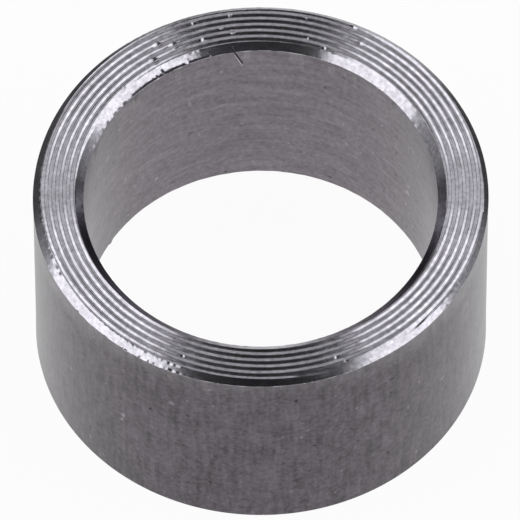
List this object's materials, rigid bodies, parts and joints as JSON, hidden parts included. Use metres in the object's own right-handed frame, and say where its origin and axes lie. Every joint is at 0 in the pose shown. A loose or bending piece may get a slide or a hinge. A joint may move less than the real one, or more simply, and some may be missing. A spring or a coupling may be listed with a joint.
{
  "type": "bushing",
  "caption": "Plain cylindrical steel bushing with a smooth through bore, chamfered ends and fine turning marks on its top face.",
  "frame": {"origin": "centre of the bore on the base plane, the face that the bushing stands on", "axes": "+Z along the bore, from the base to the face with the turning marks; the ring is round about +Z"},
  "size_m": [0.018, 0.018, 0.0096],
  "materials": {
    "turned_steel": "plain machined steel: matte drawn walls, bright fine turning marks on the top face"
  },
  "bodies": {
    "root": {"bushing_ring": "turned_steel"}
  },
  "joints": []
}
